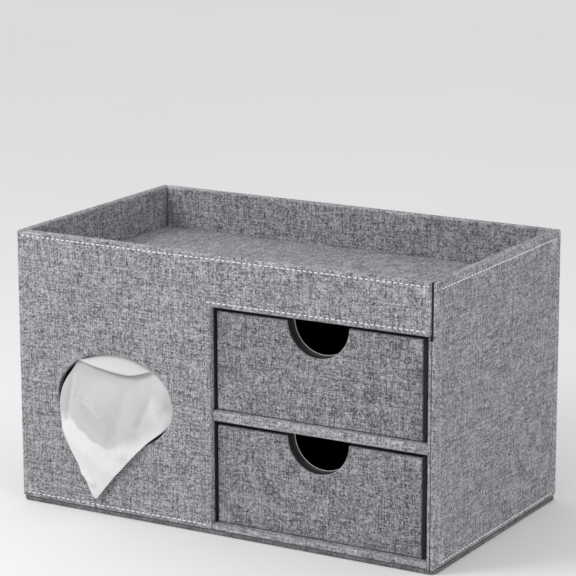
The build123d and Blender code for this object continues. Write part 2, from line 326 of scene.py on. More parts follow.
def box_outline(u0, u1, v0, v1, radius):
    return [(u0, v0, radius), (u1, v0, radius), (u1, v1, radius), (u0, v1, radius)]


def add_slab(bm, outline, profile, place, extra=None):
    """Adds a closed panel with the same outline all through its thickness."""
    rings = sweep(bm, outline, profile, place, extra)
    fill(bm, rings[0])
    fill(bm, rings[-1])


def slab(outline, profile, place, extra=None):
    bm = bmesh.new()
    add_slab(bm, outline, profile, place, extra)
    return bm


def plate(name, outline, thickness, edges, place, material, **rest):
    """A piece that is one slab, with the radii of its inner and outer edges."""
    return piece(name, slab(outline, plain_profile(thickness, *edges), place), material, **rest)


def box(low, high):
    """A plain cutter between two corners."""
    bm = bmesh.new()
    bmesh.ops.create_cube(bm, size=1.0)
    middle = (Vector(low) + Vector(high)) / 2
    bmesh.ops.scale(bm, vec=Vector(high) - Vector(low), verts=bm.verts)
    bmesh.ops.translate(bm, vec=middle, verts=bm.verts)
    return bm


def cylinder(x, z, radius, y0, y1):
    """A round cutter along Y."""
    bm = bmesh.new()
    bmesh.ops.create_cone(
        bm,
        segments=mouth_points,
        radius1=radius,
        radius2=radius,
        depth=y1 - y0,
        cap_ends=True,
        matrix=Matrix.Translation((x, (y0 + y1) / 2, z)) @ Matrix.Rotation(math.pi / 2, 4, "X"),
    )
    return bm


def cup(outline, open_at, closed_at, thickness, place, hole=None):
    """A lining: walls round an outline, and a floor at one end with an optional hole."""
    bm = bmesh.new()
    direction = math.copysign(1.0, closed_at - open_at)
    outside = [(-thickness, open_at, False), (-thickness, closed_at + thickness * direction, False)]
    inside = [(0.0, closed_at, False), (0.0, open_at, False)]
    outer = sweep(bm, outline, outside, place)
    inner = sweep(bm, outline, inside, place)
    join_rings(bm, inner[1], outer[0])
    holes = []
    if hole:
        ends = [(0.0, closed_at, False), (0.0, closed_at + thickness * direction, False)]
        holes = sweep(bm, hole, ends, place)
    fill(bm, inner[0], *holes[:1])
    fill(bm, outer[1], *holes[1:])
    return bm


def cover_grid(bm, grid):
    """Faces over a grid of points."""
    for first, second in zip(grid, grid[1:]):
        for j in range(len(first) - 1):
            bm.faces.new((first[j], first[j + 1], second[j + 1], second[j]))


def cloth_strip(rows, columns, offsets, place):
    """A closed strip: a grid of points at each of two offsets, joined round the rim.

    place gives the point at a share of the rows, a share of the columns and an offset.
    """
    bm = bmesh.new()
    rims = []
    for offset in offsets:
        grid = []
        for i in range(rows + 1):
            row = [place(i / rows, j / columns, offset) for j in range(columns + 1)]
            grid.append([bm.verts.new(point) for point in row])
        cover_grid(bm, grid)
        rim = [row[0] for row in grid] + grid[-1][1:-1]
        rim += [row[-1] for row in reversed(grid)] + list(reversed(grid[0][1:-1]))
        rims.append(rim)
    join_rings(bm, *rims)
    return bm


def add_tube(bm, loops):
    """Joins loops of points one after another and closes both ends."""
    for first, second in zip(loops, loops[1:]):
        join_rings(bm, first, second)
    bm.faces.new(loops[0])
    bm.faces.new(loops[-1])


# ---- sewing ----
def add_stitch(bm, middle, along, out):
    """One stitch: a short thread that rises from the cloth and dives back into it."""
    around, steps = 6, 5
    end_thinning = 0.3
    side = along.cross(out)
    half = stitch_half_length * random.uniform(shortest_stitch, longest_stitch)
    along = (along + side * random.uniform(-greatest_slant, greatest_slant)).normalized()
    loops = []
    for k in range(steps):
        t = 2 * k / (steps - 1) - 1
        height = stitch_lift - (stitch_lift + stitch_sink) * t**4
        centre = middle + along * (t * half) + out * height
        radius = thread_radius * (1 - end_thinning * t**4)
        loop = []
        for i in range(around):
            angle = math.tau * i / around
            loop.append(bm.verts.new(centre + (side * math.cos(angle) + out * math.sin(angle)) * radius))
        loops.append(loop)
    add_tube(bm, loops)


def sew(name, outline, place, body="case", extra=None):
    """Rows of stitches in a panel's sewn channel: white level ones, and upright ones in a grey copy of
    the thread that paints them in shade.
    """
    count = len(outline)
    extra = extra or [0.0] * count
    depth = panel_thickness - seam_depth / 2
    places = [Vector((u, v)) for u, v, _ in outline]
    corners = []
    for i in range(count):
        around = places[i - 1], places[i], places[(i + 1) % count]
        corners.append(moved_corner(*around, seam_inset + extra[i - 1], seam_inset + extra[i]))
    level, upright = bmesh.new(), bmesh.new()
    for i in range(count):
        start = Vector(place(*corners[i], depth))
        end = Vector(place(*corners[(i + 1) % count], depth))
        out = (Vector(place(*corners[i], depth + MM)) - start).normalized()
        along = (end - start).normalized()
        number = round((end - start).length / stitch_pitch)
        for k in range(number):
            middle = start.lerp(end, (k + 0.5) / number)
            add_stitch(upright if abs(along.z) > 0.5 else level, middle, along, out)
    piece(f"{name}_level_stitches", level, white_thread, body=body)
    piece(f"{name}_upright_stitches", upright, shaded_thread, body=body)


# ---- shader nodes ----
def feed(value, socket):
    """Links an output to a socket, or sets the socket to a constant."""
    if isinstance(value, bpy.types.NodeSocket):
        socket.id_data.links.new(value, socket)
    else:
        socket.default_value = value


def calculate(tree, operation, *values):
    node = tree.nodes.new("ShaderNodeMath")
    node.operation = operation
    for value, socket in zip(values, node.inputs):
        feed(value, socket)
    return node.outputs[0]


def blend_values(tree, share, first, second):
    node = tree.nodes.new("ShaderNodeMix")
    feed(share, node.inputs["Factor"])
    feed(first, node.inputs["A"])
    feed(second, node.inputs["B"])
    return node.outputs["Result"]


def split(tree, vector):
    """The X, Y and Z of a vector."""
    node = tree.nodes.new("ShaderNodeSeparateXYZ")
    feed(vector, node.inputs[0])
    return node.outputs["X"], node.outputs["Y"], node.outputs["Z"]


def weave_map(tree):
    node = tree.nodes.new("ShaderNodeUVMap")
    node.uv_map = "weave"
    return node.outputs["UV"]


def object_places(tree):
    return tree.nodes.new("ShaderNodeTexCoord").outputs["Object"]


def stretched(tree, vector, across, along, deep=1.0):
    node = tree.nodes.new("ShaderNodeMapping")
    feed(vector, node.inputs["Vector"])
    node.inputs["Scale"].default_value = (across, along, deep)
    return node.outputs["Vector"]


def noisy(tree, vector, scale=1.0, detail=1.0):
    node = tree.nodes.new("ShaderNodeTexNoise")
    feed(vector, node.inputs["Vector"])
    node.inputs["Scale"].default_value = scale
    node.inputs["Detail"].default_value = detail
    return node.outputs["Fac"]


def ramp(tree, value, *stops):
    """A colour that goes through stops of (position, colour)."""
    node = tree.nodes.new("ShaderNodeValToRGB")
    feed(value, node.inputs["Fac"])
    elements = node.color_ramp.elements
    while len(elements) < len(stops):
        elements.new(0.5)
    for element, (position, colour) in zip(elements, stops):
        element.position = position
        element.color = (*colour, 1.0)
    return node.outputs["Color"]


def new_material(name, **settings):
    """A material, its node tree and its shader, with constants on the shader's sockets."""
    material = bpy.data.materials.new(name)
    material.use_nodes = True
    shader = material.node_tree.nodes["Principled BSDF"]
    for socket, value in settings.items():
        shader.inputs[socket.replace("_", " ")].default_value = value
    return material, material.node_tree, shader


def surface(tree, shader, colour, height, distance, strength):
    """Gives a shader its colour and the relief of its surface."""
    relief = tree.nodes.new("ShaderNodeBump")
    feed(height, relief.inputs["Height"])
    relief.inputs["Distance"].default_value = distance
    relief.inputs["Strength"].default_value = strength
    feed(colour, shader.inputs["Base Color"])
    feed(relief.outputs["Normal"], shader.inputs["Normal"])


def thread_wave(tree, value, per_metre):
    """From -1 to 1 and back across each pair of threads."""
    return calculate(tree, "SINE", calculate(tree, "MULTIPLY", value, math.pi * per_metre))


def thread_number(tree, value, per_metre):
    """Which thread a place lies on, as a whole number."""
    return calculate(tree, "FLOOR", calculate(tree, "MULTIPLY", value, per_metre))


def random_tone(tree, first, second=None):
    """A random value from 0 to 1 for a whole number, or for a pair of them."""
    node = tree.nodes.new("ShaderNodeTexWhiteNoise")
    if second is None:
        node.noise_dimensions = "1D"
        feed(first, node.inputs["W"])
        return node.outputs["Value"]
    node.noise_dimensions = "2D"
    pair = tree.nodes.new("ShaderNodeCombineXYZ")
    feed(first, pair.inputs["X"])
    feed(second, pair.inputs["Y"])
    feed(pair.outputs[0], node.inputs["Vector"])
    return node.outputs["Value"]


def yarn_tones(tree, across, along, threads, slubs):
    """A random tone for each length of each thread, whose lengths start out of step."""
    greatest_start = 7.0
    line = thread_number(tree, across, threads)
    start = calculate(tree, "MULTIPLY", random_tone(tree, line), greatest_start)
    length = calculate(tree, "ADD", calculate(tree, "MULTIPLY", along, slubs), start)
    return random_tone(tree, line, calculate(tree, "FLOOR", length))


def woven_tones(tree, u, v, threads, slubs):
    """The tones of weft and warp, in equal shares."""
    weft = yarn_tones(tree, v, u, threads, slubs)
    warp = yarn_tones(tree, u, v, threads, slubs)
    return blend_values(tree, 0.5, weft, warp)


# ---- materials; threads, slubs, dots and ribs are counted per metre ----
def linen(name, dark, middle, light):
    """Melange linen: slubby threads that pass over and under, with a painted highlight that makes its
    folds paler.
    """
    threads = 2700.0
    slubs = 800.0
    speck_share = 0.2
    long_threads = 1300.0
    long_slubs = 120.0
    long_share = 0.27
    cloud_scale = 45.0
    cloud_share = 0.05
    flat_pointiness = 0.5
    fold_highlight = 1.2
    tone_reach = 0.28
    tone_height = 1.6
    material, tree, shader = new_material(name, Roughness=0.9, Sheen_Weight=0.08, Sheen_Roughness=0.5)
    place = weave_map(tree)
    u, v, _ = split(tree, place)
    specks = random_tone(tree, thread_number(tree, u, threads), thread_number(tree, v, threads))
    tone = blend_values(tree, speck_share, woven_tones(tree, u, v, threads, slubs), specks)
    long_tones = woven_tones(tree, u, v, long_threads, long_slubs)
    tone = blend_values(tree, long_share, tone, long_tones)
    tone = blend_values(tree, cloud_share, tone, noisy(tree, place, cloud_scale, detail=2.0))
    # painted highlight: where the surface is convex (high pointiness) the tone is raised, so folds and
    # rounded edges look paler
    folds = tree.nodes.new("ShaderNodeNewGeometry").outputs["Pointiness"]
    folds = calculate(tree, "SUBTRACT", folds, flat_pointiness)
    tone = calculate(tree, "ADD", tone, calculate(tree, "MULTIPLY", folds, fold_highlight))
    colour = ramp(tree, tone, (0.5 - tone_reach, dark), (0.5, middle), (0.5 + tone_reach, light))
    over = calculate(tree, "MULTIPLY", thread_wave(tree, u, threads), thread_wave(tree, v, threads))
    swell = calculate(tree, "ABSOLUTE", over)
    height = calculate(tree, "ADD", swell, calculate(tree, "MULTIPLY", tone, tone_height))
    surface(tree, shader, colour, height, distance=0.14 * MM, strength=0.6)
    return material


def black_lining(name):
    """Short dark pile with a little dust in it."""
    dust_share = 0.35
    material, tree, shader = new_material(name, Roughness=0.95, Sheen_Weight=0.08)
    place = weave_map(tree)
    pile = noisy(tree, place, scale=2600.0, detail=2.0)
    dust = noisy(tree, place, scale=300.0, detail=3.0)
    colour = ramp(
        tree,
        blend_values(tree, dust_share, pile, dust),
        (0.3, (0.006, 0.006, 0.007)),
        (0.55, (0.013, 0.013, 0.014)),
        (0.8, (0.028, 0.028, 0.03)),
    )
    surface(tree, shader, colour, pile, distance=0.15 * MM, strength=0.5)
    return material


def sewing_thread(name, dark, light):
    """Twisted sewing thread."""
    material, tree, shader = new_material(name, Roughness=0.6, Sheen_Weight=0.2)
    twist = noisy(tree, weave_map(tree), scale=2400.0)
    colour = ramp(tree, twist, (0.3, dark), (0.6, light))
    surface(tree, shader, colour, twist, distance=0.1 * MM, strength=0.5)
    return material


def ribbon_cloth(name):
    """Grey ribbon with fine cross ribs."""
    ribs = 1300.0
    material, tree, shader = new_material(name, Roughness=0.6, Sheen_Weight=0.2)
    place = weave_map(tree)
    rib = thread_wave(tree, split(tree, place)[0], ribs)
    slubs = noisy(tree, stretched(tree, place, across=2000.0, along=500.0), detail=2.0)
    colour = ramp(tree, slubs, (0.3, (0.03, 0.03, 0.033)), (0.7, (0.07, 0.07, 0.075)))
    surface(tree, shader, colour, rib, distance=0.15 * MM, strength=0.6)
    return material


def fibreboard(name):
    """Raw pressed fibres with darker flecks."""
    fleck_share = 0.4
    material, tree, shader = new_material(name, Roughness=0.9)
    place = object_places(tree)
    fibres = noisy(tree, stretched(tree, place, across=700.0, along=700.0, deep=2600.0), detail=3.0)
    flecks = noisy(tree, place, scale=900.0, detail=2.0)
    colour = ramp(
        tree,
        blend_values(tree, fleck_share, fibres, flecks),
        (0.3, (0.26, 0.17, 0.1)),
        (0.5, (0.42, 0.3, 0.19)),
        (0.7, (0.56, 0.43, 0.29)),
    )
    surface(tree, shader, colour, fibres, distance=0.1 * MM, strength=0.4)
    return material


def plated_steel(name):
    """Plated magnet discs with fine turned marks."""
    least_roughness, roughness_range = 0.15, 0.3
    material, tree, shader = new_material(name, Metallic=1.0)
    place = stretched(tree, object_places(tree), across=400.0, along=400.0, deep=6000.0)
    marks = noisy(tree, place, detail=2.0)
    colour = ramp(tree, marks, (0.3, (0.5, 0.5, 0.51)), (0.7, (0.72, 0.72, 0.73)))
    roughness = calculate(tree, "MULTIPLY_ADD", marks, roughness_range, least_roughness)
    feed(colour, shader.inputs["Base Color"])
    feed(roughness, shader.inputs["Roughness"])
    return material


def tissue_paper(name):
    """Soft white tissue with fine embossed dots and faint clouds, greyer where it is thin and where
    painted shade is laid on it.
    """
    dots = 620.0
    dot_height = 0.35
    greatest_greying = 0.75
    mottle_share = 0.2
    cloud_share = 0.6
    material, tree, shader = new_material(name, Roughness=0.92, Sheen_Weight=0.1)
    place = weave_map(tree)
    u, v, _ = split(tree, place)
    emboss = calculate(tree, "MULTIPLY", thread_wave(tree, u, dots), thread_wave(tree, v, dots))
    fibres = noisy(tree, place, scale=1500.0, detail=3.0)
    cloud = noisy(tree, place, scale=90.0, detail=2.0)
    # the thin attribute holds both the greying of one ply over the mouth and painted shade under the top
    # fold's crease
    thin = tree.nodes.new("ShaderNodeAttribute")
    thin.attribute_name = "thin"
    greying = calculate(tree, "MULTIPLY", thin.outputs["Fac"], greatest_greying)
    whiteness = calculate(tree, "SUBTRACT", 1.0, greying)
    mottle = blend_values(tree, cloud_share, fibres, cloud)
    whiteness = blend_values(tree, mottle_share, whiteness, mottle)
    colour = ramp(tree, whiteness, (0.2, (0.48, 0.48, 0.485)), (0.95, (0.79, 0.79, 0.79)))
    height = calculate(tree, "ADD", calculate(tree, "MULTIPLY", emboss, dot_height), fibres)
    surface(tree, shader, colour, height, distance=0.12 * MM, strength=0.35)
    return material


def floor_paint(name):
    """Plain pale ground with a barely visible mottle."""
    material, tree, shader = new_material(name, Roughness=0.9)
    mottle = noisy(tree, object_places(tree), scale=3.0, detail=2.0)
    colour = ramp(tree, mottle, (0.2, (0.9, 0.9, 0.9)), (0.8, (0.93, 0.93, 0.93)))
    feed(colour, shader.inputs["Base Color"])
    return material


grey = linen("grey_linen_weave", (0.03, 0.03, 0.032), (0.27, 0.274, 0.29), (0.62, 0.628, 0.665))
# painted shade: a darker copy of the grey linen for the drawers' fronts and sides, so they look shaded in
# their recess
shaded_drawer_grey = linen("drawer_linen_painted_shade", (0.02, 0.02, 0.022), (0.215, 0.218, 0.231), (0.54, 0.547, 0.58))
# painted shade: a much darker copy of the linen for the base pad, for the shade where the box meets the
# floor
shaded_base_grey = linen("base_linen_painted_shade", (0.04, 0.041, 0.043), (0.12, 0.122, 0.129), (0.28, 0.284, 0.3))
pale = linen("cut_lining_edge", (0.62, 0.62, 0.63), (0.8, 0.8, 0.81), (0.95, 0.95, 0.96))
black = black_lining("black_flock")
white_thread = sewing_thread("white_thread", (0.85, 0.85, 0.86), (0.97, 0.97, 0.97))
# painted shade: a grey copy of the white thread, for the upright stitches so they look shaded
shaded_thread = sewing_thread("shaded_thread", (0.36, 0.36, 0.37), (0.6, 0.6, 0.62))
ribbon = ribbon_cloth("ribbed_ribbon")
board_material = fibreboard("raw_fibreboard")
steel = plated_steel("magnet_plating")
paper = tissue_paper("white_tissue")


# ---- the case's walls, with the slot beside the upper strip and the crease below it ----
slot_width = 1.4 * MM
slot_drop = 2.0 * MM
slot_recess = 0.8 * MM
slot_lap = 1.0 * MM
slot_edge = 0.1 * MM
slot_top_room = 0.6 * MM
strip_room = 0.5 * MM
crease_width = 0.8 * MM
crease_depth = 0.8 * MM


def oval_outline():
    """The mouth, anticlockwise."""
    points = []
    for i in range(mouth_points):
        angle = math.tau * i / mouth_points
        u = mouth_x + mouth_half_width * math.cos(angle)
        v = mouth_z + mouth_half_height * math.sin(angle)
        points.append((u, v, 0))
    return points


def mouth_lip():
    """The mouth's turned edge, from the inner skin out to the face, away from the opening."""
    inner_edge = 0.3 * MM
    profile = plain_profile(panel_thickness - hem_rise, inner_edge, butt_radius)
    return [(-inset, depth, hem) for inset, depth, hem in profile]


def front_panel():
    """The L-shaped front, whose strip runs on over the drawer bay."""
    outline = [
        (left_x, base_z, outer_radius),
        (bay_x, base_z, butt_radius),
        (bay_x, bay_top_z, butt_radius),
        (strip_end_x, bay_top_z, outer_radius),
        (strip_end_x, rim_z, outer_radius),
        (left_x, rim_z, outer_radius),
    ]
    place = facing("-y", inner_front_y - skin_recess)
    bm = bmesh.new()
    rings = sweep(bm, outline, hemmed_profile(inner_radius, outer_radius), place)
    mouth = sweep(bm, oval_outline(), mouth_lip(), place)
    fill(bm, rings[0], mouth[0])
    fill(bm, rings[-1], mouth[-1])
    piece("front_panel", bm, grey, nodes=["front_cover"])
    sew("front", outline, place)


def sewn_panel(name, outline, edges, place, body="case", extra=None, cutters=()):
    """A covered board with its stitches, and with the radii of its inner and outer edges."""
    bm = slab(outline, hemmed_profile(*edges), place, extra)
    if cutters:
        bm = cut(bm, *cutters)
    piece(f"{name}_panel", bm, grey, body=body, nodes=[f"{name}_cover"])
    sew(name, outline, place, body=body, extra=extra)


def side_panel(name, y0, place, cutters=()):
    """A side wall, whose hem is wider along the rim and at both ends."""
    outline = [
        (y0, base_z, butt_radius),
        (back_y, base_z, outer_radius),
        (back_y, rim_z, outer_radius),
        (y0, rim_z, outer_radius),
    ]
    extra = [0.0, side_end_hem, side_top_hem, side_end_hem]
    sewn_panel(name, outline, (inner_radius, outer_radius), place, extra=extra, cutters=cutters)


def right_wall_cutters():
    """The room for the upper strip, the slot beside it and the crease below it."""
    outside_y = front_y - wall
    above_z = rim_z + wall
    room_low = (inner_right_x - wall, outside_y, bay_top_z - strip_room)
    room_high = (strip_end_x, inner_front_y, above_z)
    slot_low = (strip_end_x - slot_lap, outside_y, bay_top_z - slot_drop)
    slot_high = (strip_end_x + slot_width, inner_front_y, above_z)
    crease_low = (strip_end_x, outside_y, base_z - wall)
    crease_high = (strip_end_x + crease_width, front_y + crease_depth, bay_top_z)
    return [box(room_low, room_high), box(slot_low, slot_high), box(crease_low, crease_high)]


def strip_slot_shade():
    """A black sheet in the slot between the upper strip and the right wall, as painted shade that darkens
    the slot.
    """
    outline = box_outline(
        strip_end_x - slot_lap + slot_edge,
        strip_end_x + slot_width - slot_edge,
        bay_top_z - slot_drop + slot_edge,
        rim_z - slot_top_room,
        least_radius,
    )
    plate(
        "strip_slot_shade", outline, wall - slot_recess, thin_edges, facing("-y", inner_front_y), black
    )


def side_panels():
    side_panel("left", inner_front_y - skin_recess, facing("-x", inner_left_x - skin_recess))
    side_panel("right", front_y, facing("+x", inner_right_x + skin_recess), right_wall_cutters())
    strip_slot_shade()


def back_panel():
    """The L-shaped back, which stands between the side walls."""
    corners = [
        (bay_x, base_z),
        (inner_right_x, base_z),
        (inner_right_x, rim_z),
        (inner_left_x, rim_z),
        (inner_left_x, bay_top_z),
        (bay_x, bay_top_z),
    ]
    outline = [(x, z, butt_radius) for x, z in corners]
    place = facing("+y", inner_back_y + skin_recess)
    sewn_panel("back", outline, (inner_radius, inner_radius), place)


def base():
    """The thin covered sheet that the box stands on."""
    corner = 4.0 * MM
    edges = 0.5 * MM, 0.7 * MM
    outline = box_outline(left_x, right_x, front_y, back_y, corner)
    # painted shade: the pad uses the darker base copy of the linen
    plate("base_pad", outline, base_z, edges, facing("+z", 0.0), shaded_base_grey, nodes=["base_sheet"])


def wrapped_edge(name, node, low, high, rounded_y):
    """A cover turned over a board's long edge, whose section is rounded at rounded_y."""
    long_radius = outer_radius if high.z - low.z > wall else butt_radius
    near = low.y if rounded_y == low.y else high.y
    outline = []
    for y, z in ((low.y, low.z), (high.y, low.z), (high.y, high.z), (low.y, high.z)):
        outline.append((y, z, long_radius if y == near else least_radius))
    edges = 0.2 * MM, 0.2 * MM
    plate(name, outline, high.x - low.x, edges, facing("+x", low.x), grey, nodes=[node])


def wrapped_edges():
    wrapped_edge("shelf_edge", "shelf_cover", shelf_low, shelf_high, shelf_low.y)
    wrapped_edge("bottom_edge", "bottom_cover", bottom_low, bottom_high, bottom_low.y)
    wrapped_edge("sill_edge", "sill_cover", sill_low, sill_high, sill_high.y)


def tray_floor():
    """The grey lining of the tray, with a fine gap to the walls round it."""
    gap = 0.25 * MM
    corner = 1.0 * MM
    edges = 0.1 * MM, 0.5 * MM
    outline = box_outline(
        inner_left_x + gap, inner_right_x - gap, inner_front_y + gap, inner_back_y - gap, corner
    )
    place = facing("+z", tray_z - lining_thickness)
    plate("tray_floor", outline, lining_thickness, edges, place, grey, nodes=["tray_lining"])


def jamb_turn_in():
    """The right wall's cover, turned a little way into the drawer bay."""
    thickness = 0.15 * MM
    corner = 0.3 * MM
    outline = box_outline(front_y + inner_radius, bottom_high.y, floor_z, bay_top_z, corner)
    place = facing("-x", inner_right_x + thickness)
    plate("jamb_turn_in", outline, thickness, thin_edges, place, grey)


def bay_linings():
    """The black sleeves of the tissue compartment and of both drawer bays."""
    corner = 0.8 * MM
    recess = lining_recess
    thickness = lining_thickness - recess
    place = facing("+y", 0.0)
    outline = box_outline(
        inner_left_x - recess, divider_x + recess, floor_z - recess, bay_top_z + recess, corner
    )
    bm = cup(outline, seat_y, inner_front_y - recess, thickness, place, oval_outline())
    piece("tissue_bay_sleeve", bm, black, nodes=["tissue_bay_lining"])
    for name, z0, z1 in (("lower", floor_z, shelf_low.z), ("upper", shelf_high.z, bay_top_z)):
        outline = box_outline(bay_x - recess, inner_right_x + recess, z0 - recess, z1 + recess, corner)
        bm = cup(outline, inner_front_y, inner_back_y + recess, thickness, place)
        piece(f"{name}_bay_sleeve", bm, black, nodes=[f"{name}_bay_lining"])


def divider_end():
    """The black edge that closes the divider behind the tissues."""
    depth = 0.6 * MM
    corner = 0.4 * MM
    edges = 0.1 * MM, corner
    outline = box_outline(divider_x, bay_x - skin_recess, floor_z, bay_top_z, corner)
    plate("divider_end", outline, depth, edges, facing("+y", seat_y - depth / 2), black)


# ---- the loading door ----
def door_panel():
    """The rear door's covered board."""
    edges = 0.6 * MM, inner_radius
    outline = box_outline(door_low.x, door_high.x, door_low.z, door_high.z, butt_radius)
    place = facing("+y", inner_back_y + skin_recess)
    sewn_panel("door", outline, edges, place, body="loading_door")


def door_inside():
    """The black lining on the door's inner face."""
    low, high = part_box("door_lining")
    thickness = lining_thickness / 2
    corner = 1.0 * MM
    edges = 0.1 * MM, 0.3 * MM
    outline = box_outline(low.x, high.x, low.z, high.z, corner)
    place = facing("-y", inner_back_y + lining_recess + thickness)
    nodes = ["door_lining"]
    plate("door_inside", outline, thickness, edges, place, black, body="loading_door", nodes=nodes)


def pull_tab():
    """A ribbon glued to the door, whose round free end curls a little off the back."""
    low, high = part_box("door_pull_tab")
    thickness = 0.7 * MM
    curl = 1.1 * MM
    step_off = 0.4 * MM
    least_width = 0.25
    free_x = door_high.x - MM
    middle_z = (low.z + high.z) / 2
    end = (high.z - low.z) / 2

    def place(share, across, offset):
        x = low.x + (high.x - low.x) * share
        free = max(0.0, (x - free_x) / (high.x - free_x))
        past = max(0.0, x - (high.x - end))
        half = math.sqrt(max(end**2 - past**2, (least_width * end) ** 2))
        y = back_y + offset + curl * free**1.5 + step_off * min(1.0, 4 * free)
        return (x, y, middle_z + half * (2 * across - 1))

    bm = cloth_strip(rows=24, columns=8, offsets=(0.0, thickness), place=place)
    piece("pull_ribbon", bm, ribbon, body="loading_door", nodes=["door_pull_tab"])


def hinge():
    """A strip of cover cloth from the side wall to the door, which bends between them."""
    low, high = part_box("door_hinge_strip")
    lap = 4.0 * MM
    thickness = 0.45 * MM
    proud = 0.05 * MM
    sag = 0.5 * MM
    edge_drop = thickness * 0.8
    middle = (low.x + high.x) / 2
    gap = high.x - low.x

    def place(share, up, offset):
        x = low.x - lap + (gap + 2 * lap) * share
        dip = sag * math.exp(-(((x - middle) / (gap / 2)) ** 2))
        taper = edge_drop if share in (0.0, 1.0) and offset > proud else 0.0
        return (x, back_y + offset - dip - taper, low.z + (high.z - low.z) * up)

    bm = cloth_strip(rows=30, columns=12, offsets=(proud, proud + thickness), place=place)
    strip = piece("hinge_cloth", bm, grey, body=None, nodes=["door_hinge_strip"])
    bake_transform(strip)


# ---- the drawers ----
upper_front_low, upper_front_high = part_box("upper_drawer_front_cover")
notch_radius = 18.5 * MM
notch_x = (upper_front_low.x + upper_front_high.x) / 2
drawer_cover = 0.8 * MM
drawer_edges = 0.2 * MM, 0.9 * MM
end_recess = 1.0 * MM
end_taper = 2.5 * MM


def notched_outline(low, high):
    """A drawer front with its half-round finger notch in the top edge."""
    corner = 0.6 * MM
    points = [(low.x, low.z, corner), (high.x, low.z, corner), (high.x, high.z, corner)]
    points.append((notch_x + notch_radius, high.z, corner))
    for i in range(1, notch_points):
        angle = -math.pi * i / notch_points
        u = notch_x + notch_radius * math.cos(angle)
        v = high.z + notch_radius * math.sin(angle)
        points.append((u, v, 0))
    return points + [(notch_x - notch_radius, high.z, corner), (low.x, high.z, corner)]


def drawer_front(body):
    node = f"{body}_front_cover"
    low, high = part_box(node)
    outline = notched_outline(low, high)
    place = facing("-y", high.y)
    name = f"{body}_front"
    # painted shade: the front is made in the darker drawer copy of the linen
    plate(name, outline, high.y - low.y, drawer_edges, place, shaded_drawer_grey, body=body, nodes=[node])


def lining_back(body):
    """Where the lining behind a drawer's front ends."""
    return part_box(f"{body}_lining")[0].y + drawer_cover


def top_lining_and_shade(body):
    """The black lining turned over the front's top edge, on both sides of the notch; it also stands in as
    painted shade for the dark gap above the drawer.
    """
    low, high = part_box(f"{body}_front_cover")
    thickness = 0.2 * MM
    corner = 0.3 * MM
    end_room = 1.0 * MM
    front = low.y + 1.4 * MM
    back = lining_back(body)
    place = facing("+z", high.z - thickness / 2)
    left = box_outline(low.x + end_room, notch_x - notch_radius, front, back, corner)
    right = box_outline(notch_x + notch_radius, high.x - end_room, front, back, corner)
    bm = bmesh.new()
    for outline in (left, right):
        add_slab(bm, outline, plain_profile(thickness, *thin_edges), place)
    piece(f"{body}_top_lining_and_shade", bm, black, body=body)


def arc_band(z, radius, thickness, y0, y1):
    """A strip bent round the lower half of the finger notch."""
    steps = 40
    bm = bmesh.new()
    loops = []
    for i in range(steps + 1):
        angle = -math.pi * i / steps
        loop = []
        for y, r in ((y0, radius), (y1, radius), (y1, radius - thickness), (y0, radius - thickness)):
            loop.append(bm.verts.new((notch_x + r * math.cos(angle), y, z + r * math.sin(angle))))
        loops.append(loop)
    add_tube(bm, loops)
    return bm


def notch_edges(body):
    """The black lining of the notch's edge, and the pale cut edge behind it."""
    low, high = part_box(f"{body}_front_cover")
    radius = notch_radius + 0.3 * MM
    cover_thickness, edge_thickness = 0.5 * MM, 0.7 * MM
    lining_front = low.y + 1.1 * MM
    edge_back = lining_back(body)
    edge_front = edge_back - 0.45 * MM
    bm = arc_band(high.z, radius, cover_thickness, lining_front, edge_front)
    piece(f"{body}_notch_lining", bm, black, body=body)
    bm = arc_band(high.z, radius, edge_thickness, edge_front, edge_back)
    piece(f"{body}_notch_edge", bm, pale, body=body)


def drawer_sides(body):
    """The grey band round the drawer's sides and back, whose right end shows in front."""
    low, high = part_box(f"{body}_side_cover")
    front_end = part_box(f"{body}_front_cover")[1].y
    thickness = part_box(f"{body}_left_board")[1].x - low.x + drawer_cover - skin_recess
    inner_corner, back_corner, taper_corner = 0.4 * MM, 0.7 * MM, 1.0 * MM
    taper_length = 6.0 * MM
    outline = [
        (low.x, front_end, inner_corner),
        (low.x + thickness, front_end, inner_corner),
        (low.x + thickness, high.y - thickness, inner_corner),
        (high.x - thickness, high.y - thickness, inner_corner),
        (high.x - thickness, low.y + end_recess, inner_corner),
        (high.x - end_taper, low.y + end_recess, inner_corner),
        (high.x, low.y + taper_length, taper_corner),
        (high.x, high.y, back_corner),
        (low.x, high.y, back_corner),
    ]
    place = facing("+z", low.z)
    name = f"{body}_sides"
    nodes = [f"{body}_side_cover", f"{body}_right_board"]
    plate(name, outline, high.z - low.z, drawer_edges, place, shaded_drawer_grey, body=body, nodes=nodes)


def end_seam_shade(body):
    """A black sheet over the right side's end, in the seam beside the front, as painted shade that
    darkens the seam.
    """
    low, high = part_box(f"{body}_side_cover")
    front_end_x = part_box(f"{body}_front_cover")[1].x
    gap = 0.1 * MM
    thickness = 0.8 * MM
    corner = 0.2 * MM
    edges = 0.02 * MM, 0.15 * MM
    outline = box_outline(
        front_end_x + gap, high.x - end_taper + thickness, low.z + gap, high.z - gap, corner
    )
    place = facing("-y", low.y + end_recess + gap)
    plate(f"{body}_end_seam_shade", outline, thickness, edges, place, black, body=body)


